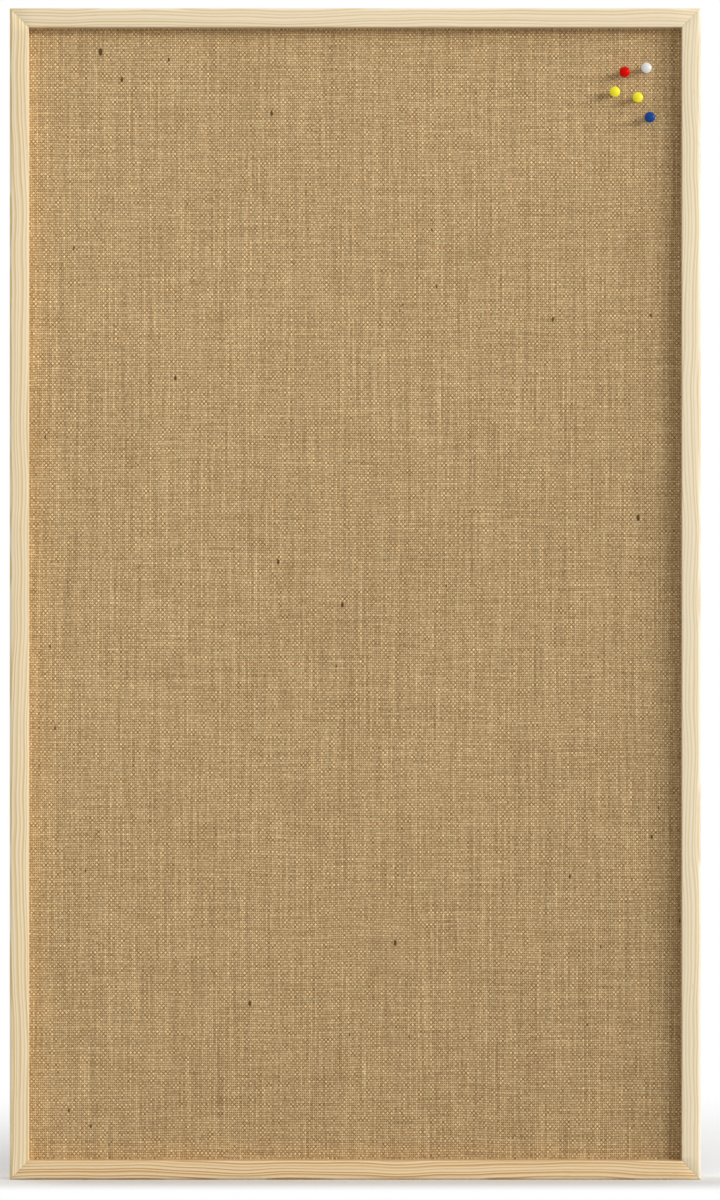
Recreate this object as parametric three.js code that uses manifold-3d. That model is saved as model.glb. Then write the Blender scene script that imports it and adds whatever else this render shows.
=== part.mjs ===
// Jute-covered pin board in a mitred pine frame, hung upright on two D-rings, with five push pins.
// Millimetres. Seen from the front +X is right and +Z is up, and the front faces -Y.
// The origin is the middle of the outline's box, at its lowest face.
import * as THREE from "three";
import { mergeVertices } from "three/addons/utils/BufferGeometryUtils.js";
import Module from "manifold-3d";

const wasm = await Module();
wasm.setup();

// Frame mouldings: outside size, face, rebate and eased edges
const boardWidth = 590;
const boardHeight = 1000;
const faceWidth = 16.1;
const lipDepth = 12;
const rebateWidth = 5;
const backRecess = 2;
const outerRound = 2.6;
const sightRound = 0.6;
const backEase = 0.6;

// Board held in the rebate: cloth, soft core and hard back
const clothThickness = 0.9;
const flapWidth = 24;
const coreThickness = 10;
const panelThickness = 3;
const edgeClearance = 0.6;

// Gaps between pieces that are seated on each other, that turn or slide in each other, and at the mitres
const seatGap = 0.3;
const runGap = 0.3;
const mitreGap = 0.3;

// V-nails across the back of each mitre
const nailHeight = 9;
const nailThickness = 0.6;
const nailInsetShare = 0.34;
const nailLegShare = 0.5;

// Flat points that hold the back panel in
const pointLength = 13;
const pointWidth = 6;
const pointThickness = 0.6;
const pointTip = 2.5;
const pointBiteShare = 0.5;
const pointsOnStile = 4;
const pointsOnRail = 3;

// Strap hangers with their D-rings
const strapWidth = 6;
const strapLayer = 0.8;
const strapTail = 4.5;
const screwSpacing = 12;
const hangerDropShare = 0.25;
const ringWire = 1.6;
const ringPlay = 0.6;
const ringSide = 6;
const ringCorner = 1.2;
const wireBevelShare = 0.42;

// Hanger screws
const screwHeadDiameter = 5;
const screwHeadHeight = 1.6;
const screwHeadRim = 0.6;
const screwDiameter = 2.6;
const screwLength = 12;
const screwTip = 3;
const recessLength = 3;
const recessWidth = 0.7;
const recessDepth = 0.9;

// Rubber wall bumpers
const bumperDiameter = 9;
const bumperHeight = 5.2;
const bumperEase = 1;
const bumperInset = 32;

// Push pins: plastic spool and steel needle
const headHeight = 12;
const discDiameter = 9;
const discThickness = 2.4;
const discRound = 0.7;
const discShoulder = 1.5;
const discCrown = 0.6;
const waistDiameter = 4.2;
const collarDiameter = 6.6;
const collarThickness = 1.7;
const collarRound = 0.6;
const collarSlope = 0.7;
const needleDiameter = 1.1;
const needleReach = 9.5;
const needleRoot = 7;
const needleTip = 2.6;

// Pin places, each as shares of half the visible opening, across from its middle and up from its middle
const pins = [
  { colour: "red", acrossShare: 0.825, upShare: 0.921 },
  { colour: "white", acrossShare: 0.891, upShare: 0.928 },
  { colour: "yellow_left", acrossShare: 0.795, upShare: 0.886 },
  { colour: "yellow_right", acrossShare: 0.865, upShare: 0.876 },
  { colour: "blue", acrossShare: 0.902, upShare: 0.841 },
];

// Fineness of round surfaces, the reach of a cut past the face it opens, and the weld of shared corners
const arcSteps = 6;
const turnedSteps = 3;
const pinSides = 20;
const smallSides = 16;
const cutOverrun = 1;
const weldDistance = 0.001;

// Depths, measured backwards from the frame's face
const clothFront = lipDepth + seatGap;
const coreFront = clothFront + clothThickness + seatGap;
const coreBack = coreFront + coreThickness;
const clothBack = coreBack + seatGap + clothThickness;
const panelFront = clothBack + seatGap;
const panelBack = panelFront + panelThickness;
const pointFront = panelBack + seatGap;
const pointBack = pointFront + pointThickness;
const frameBack = pointBack + backRecess;
const bumperBack = frameBack + seatGap + bumperHeight;
const pinBase = clothFront - seatGap;
const pinFront = Math.min(0, pinBase - headHeight);

// Widths across a member and over the board
const wallWidth = faceWidth - rebateWidth;
const wallMiddle = wallWidth / 2;
const openingWidth = boardWidth - 2 * faceWidth;
const openingHeight = boardHeight - 2 * faceWidth;
const clothInset = wallWidth + edgeClearance;
const coreInset = clothInset + clothThickness + seatGap;

// Hanger sizes that follow its ring and screws, from the ring's turning axis
const eyeBore = ringWire / 2 + runGap;
const eyeRadius = eyeBore + strapLayer;
const axisDepth = frameBack + seatGap + eyeRadius;
const ringHalf = strapWidth / 2 + ringPlay + ringWire / 2;
const ringLean = Math.asin((axisDepth - frameBack - seatGap - ringWire / 2) / (ringSide + ringHalf));
const strapTop = frameBack + seatGap + 2 * strapLayer;
const firstScrew = eyeRadius + ringPlay + screwHeadDiameter / 2;
const screwPlaces = [firstScrew, firstScrew + screwSpacing];
const strapLength = firstScrew + screwSpacing + strapTail;
const hangerHeight = boardHeight * (1 - hangerDropShare);

const pine = finish(0xe6d3b0, 0.55, 0);
const jute = finish(0xb4966c, 0.95, 0);
const fibreboard = finish(0xb9a58a, 0.95, 0);
const hardboard = finish(0x7a5a3c, 0.7, 0);
const zinc = finish(0xb9bcc0, 0.35, 1);
const steel = finish(0xc4c6c8, 0.2, 1);
const rubber = finish(0xe4e2dc, 0.6, 0);
const pinPlastics = {
  red: finish(0xc4120c, 0.25, 0),
  white: finish(0xe8e6e0, 0.3, 0),
  yellow_left: finish(0xf2e22c, 0.3, 0),
  yellow_right: finish(0xf2e22c, 0.3, 0),
  blue: finish(0x1f4c9c, 0.25, 0),
};

function finish(color, roughness, metalness) {
  return new THREE.MeshStandardMaterial({ color, roughness, metalness });
}

function named(name, geometry, material) {
  const mesh = new THREE.Mesh(geometry, material);
  mesh.name = name;
  return mesh;
}

function solidOf(geometry) {
  const bare = geometry.clone();
  bare.deleteAttribute("normal");
  bare.deleteAttribute("uv");
  const merged = mergeVertices(bare, weldDistance);
  return new wasm.Manifold(
    new wasm.Mesh({
      numProp: 3,
      vertProperties: merged.attributes.position.array,
      triVerts: new Uint32Array(merged.index.array),
    }),
  );
}

function geometryOf(solid) {
  const mesh = solid.getMesh();
  const geometry = new THREE.BufferGeometry();
  geometry.setAttribute("position", new THREE.BufferAttribute(mesh.vertProperties, mesh.numProp));
  geometry.setIndex(new THREE.BufferAttribute(mesh.triVerts, 1));
  geometry.computeVertexNormals();
  return geometry;
}

function cut(geometry, tools) {
  let solid = solidOf(geometry);
  for (const tool of tools) {
    solid = solid.subtract(solidOf(tool));
  }
  return geometryOf(solid);
}

// A box from its lowest corner to its highest.
function block(low, high) {
  const size = high.map((value, axis) => value - low[axis]);
  const geometry = new THREE.BoxGeometry(...size);
  geometry.translate(...high.map((value, axis) => (value + low[axis]) / 2));
  return geometry;
}

// An outline drawn in x and z, thick from one depth to the other.
function slab(outline, front, back) {
  const geometry = new THREE.ExtrudeGeometry(outline, {
    depth: back - front,
    bevelEnabled: false,
    curveSegments: arcSteps,
  });
  geometry.rotateX(Math.PI / 2);
  geometry.translate(0, back, 0);
  return geometry;
}

// A round hole along the depth, at a place in x and z.
function bore(x, z, radius, front, back) {
  const geometry = new THREE.CylinderGeometry(radius, radius, back - front, smallSides);
  geometry.translate(x, (front + back) / 2, z);
  return geometry;
}

// Section of the moulding: x from the outer edge towards the board, y from the face backwards.
function mouldingSection() {
  const section = new THREE.Shape();
  section.moveTo(0, outerRound);
  section.absarc(outerRound, outerRound, outerRound, Math.PI, 1.5 * Math.PI, false);
  section.absarc(faceWidth - sightRound, sightRound, sightRound, 1.5 * Math.PI, 2 * Math.PI, false);
  section.lineTo(faceWidth, lipDepth);
  section.lineTo(wallWidth, lipDepth);
  section.lineTo(wallWidth, frameBack - backEase);
  section.lineTo(wallWidth - backEase, frameBack);
  section.lineTo(backEase, frameBack);
  section.lineTo(0, frameBack - backEase);
  return section;
}

// One member along z, with both ends cut at 45 degrees.
function mitredMoulding(length) {
  const geometry = new THREE.ExtrudeGeometry(mouldingSection(), {
    depth: 1,
    bevelEnabled: false,
    curveSegments: arcSteps,
  });
  const corners = geometry.getAttribute("position");
  const setBack = mitreGap * Math.SQRT1_2;
  for (let i = 0; i < corners.count; i++) {
    const cutBack = corners.getX(i) + setBack;
    const atFarEnd = corners.getZ(i) > 0.5;
    corners.setZ(i, atFarEnd ? length - cutBack : cutBack);
  }
  return geometry;
}

// V of sheet steel with one leg along each member, grown all round for the slot that it is driven into.
function vNail(growth) {
  const inset = wallWidth * nailInsetShare - growth;
  const reach = wallWidth * (nailInsetShare + nailLegShare) + growth;
  const thick = nailThickness + 2 * growth;
  const outline = new THREE.Shape();
  outline.moveTo(inset, inset);
  outline.lineTo(reach, inset);
  outline.lineTo(reach, inset + thick);
  outline.lineTo(inset + thick, inset + thick);
  outline.lineTo(inset + thick, reach);
  outline.lineTo(inset, reach);
  return slab(outline, frameBack - seatGap - nailHeight - growth, frameBack - seatGap + growth);
}

// Slots for the V-nails at both ends of a member; each runs out through the back.
function nailSlots(length) {
  const nearEnd = vNail(runGap);
  const farEnd = vNail(runGap);
  farEnd.rotateY(Math.PI / 2);
  farEnd.translate(0, 0, length);
  return [nearEnd, farEnd];
}

// Places along a member, in the middle of equal stretches of the visible edge.
function spacedAlong(length, count) {
  const stretch = (length - 2 * faceWidth) / count;
  return Array.from({ length: count }, (_, i) => faceWidth + stretch * (i + 0.5));
}

// A flat point: its tapered end bites into the wall and its tail lies behind the back panel.
function flatPoint() {
  const bite = wallWidth * (1 - pointBiteShare);
  const half = pointWidth / 2;
  const outline = new THREE.Shape();
  outline.moveTo(bite, 0);
  outline.lineTo(bite + pointTip, -half);
  outline.lineTo(bite + pointLength, -half);
  outline.lineTo(bite + pointLength, half);
  outline.lineTo(bite + pointTip, half);
  return slab(outline, pointFront, pointBack);
}

function pointSlot(along) {
  const bite = wallWidth * (1 - pointBiteShare);
  const half = pointWidth / 2 + runGap;
  return block(
    [bite - runGap, pointFront - runGap, along - half],
    [wallWidth + cutOverrun, pointBack + runGap, along + half],
  );
}

// Turns a lathe profile, given as a path from the axis back to the axis, about y.
function turned(path, sides) {
  return new THREE.LatheGeometry(path.getPoints(turnedSteps), sides);
}

function bumper() {
  const radius = bumperDiameter / 2;
  const profile = new THREE.Path();
  profile.moveTo(0, 0);
  profile.lineTo(radius, 0);
  profile.lineTo(radius, bumperHeight - bumperEase);
  profile.quadraticCurveTo(radius, bumperHeight, radius - bumperEase, bumperHeight);
  profile.lineTo(0, bumperHeight);
  return turned(profile, smallSides);
}

// One side of the frame: the member, its flat points and, on a stile, its bumpers.
function frameSide({ name, length, points, screwsAlong, bumpers }, turn, corner) {
  const side = new THREE.Group();
  side.rotation.y = turn;
  side.position.copy(corner);
  const places = spacedAlong(length, points);
  const screwBores = screwsAlong.map((along) =>
    bore(wallMiddle, along, screwDiameter / 2 + runGap, strapTop - screwLength - runGap, frameBack + cutOverrun),
  );
  const member = cut(mitredMoulding(length), [...nailSlots(length), ...places.map(pointSlot), ...screwBores]);
  side.add(named(name, member, pine));
  places.forEach((along, i) => {
    const point = named(`${name}_point_${i + 1}`, flatPoint(), zinc);
    point.position.z = along;
    side.add(point);
  });
  bumpers.forEach((bumperName, i) => {
    const foot = named(bumperName, bumper(), rubber);
    foot.position.set(wallMiddle, frameBack + seatGap, i === 0 ? bumperInset : length - bumperInset);
    side.add(foot);
  });
  return side;
}

// The frame: each member starts at its own corner, a quarter turn from the one before.
function frame() {
  const group = new THREE.Group();
  const screwHeights = screwPlaces.map((place) => hangerHeight - place);
  const sides = [
    {
      name: "left_stile",
      length: boardHeight,
      points: pointsOnStile,
      screwsAlong: screwHeights,
      bumpers: ["bumper_bottom_left", "bumper_top_left"],
    },
    { name: "top_rail", length: boardWidth, points: pointsOnRail, screwsAlong: [], bumpers: [] },
    {
      name: "right_stile",
      length: boardHeight,
      points: pointsOnStile,
      screwsAlong: screwHeights.map((height) => boardHeight - height),
      bumpers: ["bumper_top_right", "bumper_bottom_right"],
    },
    { name: "bottom_rail", length: boardWidth, points: pointsOnRail, screwsAlong: [], bumpers: [] },
  ];
  const corners = [
    { name: "bottom_left", x: 0, z: 0 },
    { name: "top_left", x: 0, z: boardHeight },
    { name: "top_right", x: boardWidth, z: boardHeight },
    { name: "bottom_right", x: boardWidth, z: 0 },
  ];
  corners.forEach(({ name, x, z }, i) => {
    const turn = (i * Math.PI) / 2;
    const corner = new THREE.Vector3(x, 0, z);
    group.add(frameSide(sides[i], turn, corner));
    const nail = named(`v_nail_${name}`, vNail(0), zinc);
    nail.rotation.y = turn;
    nail.position.copy(corner);
    group.add(nail);
  });
  return group;
}

function pinPlace({ acrossShare, upShare }) {
  return {
    x: boardWidth / 2 + (acrossShare * openingWidth) / 2,
    z: boardHeight / 2 + (upShare * openingHeight) / 2,
  };
}

// Holes that the needles have made, from in front of the cloth to just past their tips.
function needleHoles() {
  return pins.map((pin) => {
    const { x, z } = pinPlace(pin);
    return bore(x, z, needleDiameter / 2 + runGap, clothFront - cutOverrun, pinBase + needleReach + runGap);
  });
}

// A sheet that fills the board's outline to an inset from the frame's outer edge.
function boardSheet(inset, front, back) {
  return block([inset, front, inset], [boardWidth - inset, back, boardHeight - inset]);
}

// Jute wrapped round the core: one front, four returns and a flap along each edge of the back.
function juteCover() {
  const pocketInset = clothInset + clothThickness;
  const windowInset = clothInset + flapWidth;
  return cut(boardSheet(clothInset, clothFront, clothBack), [
    boardSheet(pocketInset, clothFront + clothThickness, clothBack - clothThickness),
    boardSheet(windowInset, coreFront, clothBack + cutOverrun),
    ...needleHoles(),
  ]);
}

function board() {
  const group = new THREE.Group();
  const core = cut(boardSheet(coreInset, coreFront, coreBack), needleHoles());
  const panel = cut(boardSheet(clothInset, panelFront, panelBack), needleHoles());
  group.add(named("jute_cover", juteCover(), jute));
  group.add(named("fibre_core", core, fibreboard));
  group.add(named("back_panel", panel, hardboard));
  return group;
}

// Strap folded double round the ring's bar; drawn with x down the strap and y backwards.
function strap() {
  const plateBack = 2 * strapLayer - eyeRadius;
  const eyeStart = Math.asin(plateBack / eyeRadius);
  const outline = new THREE.Shape();
  outline.moveTo(0, -eyeRadius);
  outline.lineTo(strapLength, -eyeRadius);
  outline.lineTo(strapLength, plateBack);
  outline.absarc(0, 0, eyeRadius, eyeStart, 1.5 * Math.PI, false);
  const eye = new THREE.Path();
  eye.absarc(0, 0, eyeBore, 0, 2 * Math.PI, true);
  outline.holes.push(eye);
  const geometry = new THREE.ExtrudeGeometry(outline, {
    depth: strapWidth,
    bevelEnabled: false,
    curveSegments: 2 * arcSteps,
  });
  geometry.translate(0, 0, -strapWidth / 2);
  geometry.rotateY(Math.PI / 2);
  const holes = screwPlaces.map((place) =>
    bore(0, -place, screwDiameter / 2 + runGap, -eyeRadius - cutOverrun, plateBack + cutOverrun),
  );
  return cut(geometry, holes);
}

// D of the ring, offset from the wire's middle line: straight bar on the axis, two sides and a half round.
function ringOutline(path, offset) {
  const bend = ringHalf - ringCorner;
  path.moveTo(-bend, -offset);
  path.absarc(bend, ringCorner, ringCorner + offset, 1.5 * Math.PI, 2 * Math.PI, false);
  path.absarc(0, ringSide, ringHalf + offset, 0, Math.PI, false);
  path.absarc(-bend, ringCorner, ringCorner + offset, Math.PI, 1.5 * Math.PI, false);
  return path;
}

function dRing() {
  const bevel = ringWire * wireBevelShare;
  const band = ringWire / 2 - bevel;
  const outline = ringOutline(new THREE.Shape(), band);
  outline.holes.push(ringOutline(new THREE.Path(), -band));
  const geometry = new THREE.ExtrudeGeometry(outline, {
    depth: 2 * band,
    bevelThickness: bevel,
    bevelSize: bevel,
    bevelSegments: 2,
    curveSegments: arcSteps,
  });
  geometry.translate(0, 0, -band);
  geometry.rotateX(Math.PI / 2);
  return geometry;
}

// Pan-head screw along y, its head's underside at the origin and a cross recess in its head.
function screw() {
  const headRadius = screwHeadDiameter / 2;
  const radius = screwDiameter / 2;
  const profile = new THREE.Path();
  profile.moveTo(0, -screwLength);
  profile.lineTo(radius, screwTip - screwLength);
  profile.lineTo(radius, 0);
  profile.lineTo(headRadius, 0);
  profile.lineTo(headRadius, screwHeadRim);
  profile.quadraticCurveTo(headRadius, screwHeadHeight, 0, screwHeadHeight);
  const halfLength = recessLength / 2;
  const halfWidth = recessWidth / 2;
  const floor = screwHeadHeight - recessDepth;
  const top = screwHeadHeight + cutOverrun;
  return cut(turned(profile, smallSides), [
    block([-halfLength, floor, -halfWidth], [halfLength, top, halfWidth]),
    block([-halfWidth, floor, -halfLength], [halfWidth, top, halfLength]),
  ]);
}

// A hanger on the middle of a stile's back; the ring leans on the stile under its own weight.
function hanger(side, x) {
  const group = new THREE.Group();
  group.position.set(x, 0, hangerHeight);
  const plate = named(`hanger_strap_${side}`, strap(), zinc);
  const ring = named(`d_ring_${side}`, dRing(), zinc);
  plate.position.y = axisDepth;
  ring.position.y = axisDepth;
  ring.rotation.x = ringLean;
  group.add(plate, ring);
  screwPlaces.forEach((place, i) => {
    const fixing = named(`hanger_screw_${side}_${i + 1}`, screw(), zinc);
    fixing.position.set(0, strapTop + seatGap, -place);
    group.add(fixing);
  });
  return group;
}

// Spool-shaped head about y, its collar's underside at the origin, with a blind bore for the needle.
function pinHead() {
  const discRadius = discDiameter / 2;
  const collarRadius = collarDiameter / 2;
  const waistRadius = waistDiameter / 2;
  const needleBore = needleDiameter / 2 + seatGap;
  const discBottom = headHeight - discThickness;
  const domeRadius = discRadius - discShoulder;
  const domeBottom = headHeight - discCrown;
  const discRim = domeBottom - (2 * discCrown * discShoulder) / domeRadius;
  const waistMiddle = (collarThickness + discBottom) / 2;
  const profile = new THREE.Path();
  profile.moveTo(0, needleRoot + seatGap);
  profile.lineTo(needleBore, needleRoot + seatGap);
  profile.lineTo(needleBore, 0);
  profile.lineTo(collarRadius - collarRound, 0);
  profile.quadraticCurveTo(collarRadius, 0, collarRadius, collarRound);
  profile.lineTo(collarRadius, collarThickness - collarRound);
  profile.lineTo(collarRadius - collarSlope, collarThickness);
  profile.quadraticCurveTo(waistRadius, collarThickness, waistRadius, waistMiddle);
  profile.quadraticCurveTo(waistRadius, discBottom, discRadius - discRound, discBottom);
  profile.quadraticCurveTo(discRadius, discBottom, discRadius, discBottom + discRound);
  profile.quadraticCurveTo(discRadius, discRim, domeRadius, domeBottom);
  profile.quadraticCurveTo(domeRadius / 2, headHeight, 0, headHeight);
  return turned(profile, pinSides);
}

function pinNeedle() {
  const radius = needleDiameter / 2;
  const profile = new THREE.Path();
  profile.moveTo(0, -needleReach);
  profile.lineTo(radius, needleTip - needleReach);
  profile.lineTo(radius, needleRoot);
  profile.lineTo(0, needleRoot);
  return turned(profile, smallSides);
}

function pushPin(pin) {
  const group = new THREE.Group();
  const { x, z } = pinPlace(pin);
  group.position.set(x, pinBase, z);
  group.rotation.x = Math.PI;
  group.add(named(`pin_head_${pin.colour}`, pinHead(), pinPlastics[pin.colour]));
  group.add(named(`pin_needle_${pin.colour}`, pinNeedle(), steel));
  return group;
}

const memoBoard = new THREE.Group();
memoBoard.position.set(-boardWidth / 2, -(pinFront + bumperBack) / 2, 0);
memoBoard.add(frame(), board());
memoBoard.add(hanger("left", wallMiddle), hanger("right", boardWidth - wallMiddle));
memoBoard.add(...pins.map(pushPin));

const model = new THREE.Group();
model.add(memoBoard);

export default model;
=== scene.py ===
"""Looks of a jute-covered pin board in a mitred pine frame, built round its CAD model.

Metres. Seen from the front +X is right and +Z is up, and the front faces -Y.
Each operator makes one piece or one group of like pieces; the stage comes last.
"""
import math

import bmesh
import bpy
import numpy as np
from bpy.props import FloatProperty, FloatVectorProperty, PointerProperty
from mathutils import Color, Matrix, Vector


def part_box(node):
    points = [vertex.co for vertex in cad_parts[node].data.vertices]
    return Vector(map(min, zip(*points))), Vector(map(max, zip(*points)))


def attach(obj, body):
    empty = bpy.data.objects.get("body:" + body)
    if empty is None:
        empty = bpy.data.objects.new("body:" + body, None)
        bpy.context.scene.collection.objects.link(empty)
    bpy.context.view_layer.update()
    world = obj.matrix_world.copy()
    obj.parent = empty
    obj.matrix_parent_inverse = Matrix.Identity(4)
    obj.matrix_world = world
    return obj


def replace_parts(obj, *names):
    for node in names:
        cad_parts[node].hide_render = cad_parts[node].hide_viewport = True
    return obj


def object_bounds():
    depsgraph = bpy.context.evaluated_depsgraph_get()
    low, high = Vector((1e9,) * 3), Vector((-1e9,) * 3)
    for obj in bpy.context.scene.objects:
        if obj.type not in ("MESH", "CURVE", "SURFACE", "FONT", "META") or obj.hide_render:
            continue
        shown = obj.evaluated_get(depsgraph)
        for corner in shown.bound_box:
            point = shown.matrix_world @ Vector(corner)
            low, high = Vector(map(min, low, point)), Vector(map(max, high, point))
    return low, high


bl_info = {
    "name": "Jute pin board",
    "version": (1, 0, 0),
    "blender": (4, 5, 0),
    "location": "View3D > Sidebar > Pin board",
    "description": "Builds the visible pieces of a jute pin board round its CAD model",
    "category": "Object",
}

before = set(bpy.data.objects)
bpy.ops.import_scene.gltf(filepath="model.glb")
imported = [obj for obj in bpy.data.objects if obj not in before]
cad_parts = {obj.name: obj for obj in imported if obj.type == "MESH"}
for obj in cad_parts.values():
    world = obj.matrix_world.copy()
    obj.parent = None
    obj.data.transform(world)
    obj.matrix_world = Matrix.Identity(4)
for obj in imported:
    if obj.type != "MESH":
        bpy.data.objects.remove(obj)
CAD_LOW, CAD_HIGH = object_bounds()

SEAT_GAP = 0.0003
SHARP_ANGLE = math.radians(35)
DIAGONAL = math.sqrt(0.5)

# Sides of the round pieces
DISC_SIDES = 72
ROUND_SIDES = 48
NEEDLE_SIDES = 32
WIRE_SIDES = 20

# Screws: root of the thread as a share of its crest, and depth of the cross as a share of the head
THREAD_ROOT = 0.72
RECESS_SHARE = 0.55

# Weave: random seed, threads along its rim that lie straight, depth of its soft hollows in metres, and
# a gap's step from its crossing in threads
WEAVE_SEED = 20
CALM_THREADS = 6
HOLLOW_DEPTH = 0.00005
GAP_STEP = 0.5

# Steps in the yarns' noise: from one yarn to the next, so that they differ, and along a yarn
YARN_STEP = 7.43
SLUB_STEP = 1.4

# The members in the order that they go round the frame, each a quarter turn from the one before
MEMBERS = ("left_stile", "top_rail", "right_stile", "bottom_rail")
CORNERS = ("bottom_left", "top_left", "top_right", "bottom_right")
SIDES = ("left", "right")
PINS = {
    "red": ("red_pin", "red_plastic"),
    "white": ("white_pin", "white_plastic"),
    "yellow_left": ("yellow_pin_left", "yellow_plastic"),
    "yellow_right": ("yellow_pin_right", "yellow_plastic"),
    "blue": ("blue_pin", "blue_plastic"),
}


def paint(red, green, blue):
    """Scene-linear colour of a display colour given from 0 to 255."""
    return tuple(Color((red / 255, green / 255, blue / 255)).from_srgb_to_scene_linear())


def length(name, description, default):
    """A size in metres that a user can set."""
    return FloatProperty(
        name=name, description=description, default=default, precision=5, unit="LENGTH", subtype="DISTANCE"
    )


def fraction(name, description, default):
    """A part of a whole, from 0 to 1, that a user can set."""
    return FloatProperty(
        name=name, description=description, default=default, min=0, max=1, subtype="FACTOR"
    )


def colour(name, description, *display):
    """A colour that a user can set."""
    return FloatVectorProperty(
        name=name, description=description, default=paint(*display), size=3, min=0, max=1, subtype="COLOR"
    )


def watts(name, description, default):
    """A lamp's power that a user can set."""
    return FloatProperty(name=name, description=description, default=default, unit="POWER")


def degrees(name, description, default):
    """An angle that a user can set."""
    return FloatProperty(
        name=name, description=description, default=math.radians(default), subtype="ANGLE", unit="ROTATION"
    )


class JuteSettings(bpy.types.PropertyGroup):
    """Weave and colours of the jute cover."""

    warp_pitch: length("Warp pitch", "Distance between upright threads", 0.00175)
    weft_pitch: length("Weft pitch", "Distance between level threads", 0.002005)
    thickness: length("Thickness", "Thickness of the cloth", 0.0009)
    relief: length("Relief", "Depth of the gaps below the threads' tops", 0.00022)
    wander: length("Wander", "How far a thread strays from its straight line", 0.0004)
    flap: length("Flap", "Width of the flaps glued behind the core", 0.024)
    edge_round: length("Edge round", "Outer radius where the cloth turns over the core's edge", 0.0012)
    # The knuckle colour is a painted highlight on the yarns' tops; the gap colour is painted shade between
    # the threads, together with the brown behind them that shows through.
    knuckle_highlight: colour("Knuckle", "Top of a thread", 248, 225, 178)
    gap: colour("Gap", "Between the threads", 138, 91, 18)
    speck: colour("Speck", "Bits of bark spun into the yarn", 84, 58, 30)


class PineSettings(bpy.types.PropertyGroup):
    """Section and colours of the pine moulding."""

    rebate: length("Rebate", "Width of the lip in front of the board", 0.005)
    outer_round: length("Outer round", "Radius of the outer front arris", 0.0026)
    sight_round: length("Sight round", "Radius of the inner front arris", 0.0006)
    back_ease: length("Back ease", "Bevel of the back arrises", 0.0006)
    arris: length("Arris", "Round of the sharp edges", 0.0001)
    joint: length("Mitre joint", "Width of the closed joint across a corner", 0.00008)
    station: length("Station", "Distance between the rings of corners along a member", 0.02)
    ring_spacing: length("Ring spacing", "Distance between growth rings", 0.0023)
    top_rail: colour("Top rail", "Early wood of the top rail", 251, 233, 202)
    right_stile: colour("Right stile", "Early wood of the right stile", 250, 235, 205)
    left_stile: colour("Left stile", "Early wood of the left stile", 254, 235, 201)
    bottom_rail: colour("Bottom rail", "Early wood of the bottom rail", 249, 224, 178)
    late: colour("Late wood", "Dark line of each growth ring", 204, 165, 46)
    bottom_late: colour("Bottom late wood", "Dark line of each growth ring of the bottom rail", 190, 124, 34)
    top_rail_figure: fraction("Top rail figure", "Strength of the top rail's growth rings", 0.52)
    right_stile_figure: fraction("Right stile figure", "Strength of the right stile's growth rings", 0.42)
    left_stile_figure: fraction("Left stile figure", "Strength of the left stile's growth rings", 0.6)
    bottom_rail_figure: fraction("Bottom rail figure", "Strength of the bottom rail's growth rings", 0.85)


class HardwareSettings(bpy.types.PropertyGroup):
    """Sizes and colours of the hangers, fixings and bumpers."""

    strap_layer: length("Strap layer", "Thickness of the strap's sheet", 0.0008)
    wire: length("Ring wire", "Diameter of the D-ring's wire", 0.0016)
    wire_gap: length("Wire gap", "Play of the wire in the strap's eye", 0.0003)
    ring_side: length("Ring side", "Height of the D-ring's straight sides", 0.006)
    ring_corner: length("Ring corner", "Bend radius at the D-ring's bar", 0.0012)
    head_height: length("Screw head", "Height of the screw's pan head", 0.0016)
    shank: length("Screw shank", "Diameter of the screw's shank", 0.0026)
    bumper_ease: length("Bumper ease", "Round of the bumper's outer edge", 0.001)
    zinc: colour("Zinc", "Bright zinc plate", 196, 199, 204)
    rubber: colour("Rubber", "Pale rubber of the bumpers", 226, 224, 217)
    hardboard: colour("Hardboard", "Back panel", 132, 96, 62)
    fibreboard: colour("Fibreboard", "Soft core", 185, 165, 138)


class PinSettings(bpy.types.PropertyGroup):
    """Sizes and colours of the push pins."""

    disc: length("Disc", "Diameter of the head's disc", 0.009)
    disc_thickness: length("Disc thickness", "Thickness of the head's disc", 0.0024)
    disc_round: length("Disc round", "Radius of the disc's lower edge", 0.0007)
    shoulder: length("Shoulder", "Width of the rounded shoulder round the disc's dome", 0.0015)
    crown: length("Crown", "Rise of the dome's middle above the shoulder", 0.0006)
    waist: length("Waist", "Diameter of the head's waist", 0.0042)
    collar: length("Collar", "Diameter of the collar on the cloth", 0.0066)
    collar_thickness: length("Collar thickness", "Thickness of the collar", 0.0017)
    collar_round: length("Collar round", "Radius of the collar's edge", 0.0006)
    collar_slope: length("Collar slope", "Width of the collar's sloped edge", 0.0007)
    needle: length("Needle", "Diameter of the steel needle", 0.0011)
    taper: length("Taper", "Length of the needle's point", 0.0026)
    red: colour("Red", "Red plastic", 216, 14, 7)
    white: colour("White", "White plastic", 228, 228, 225)
    yellow: colour("Yellow", "Yellow plastic", 252, 238, 52)
    blue: colour("Blue", "Blue plastic", 30, 68, 142)


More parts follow.
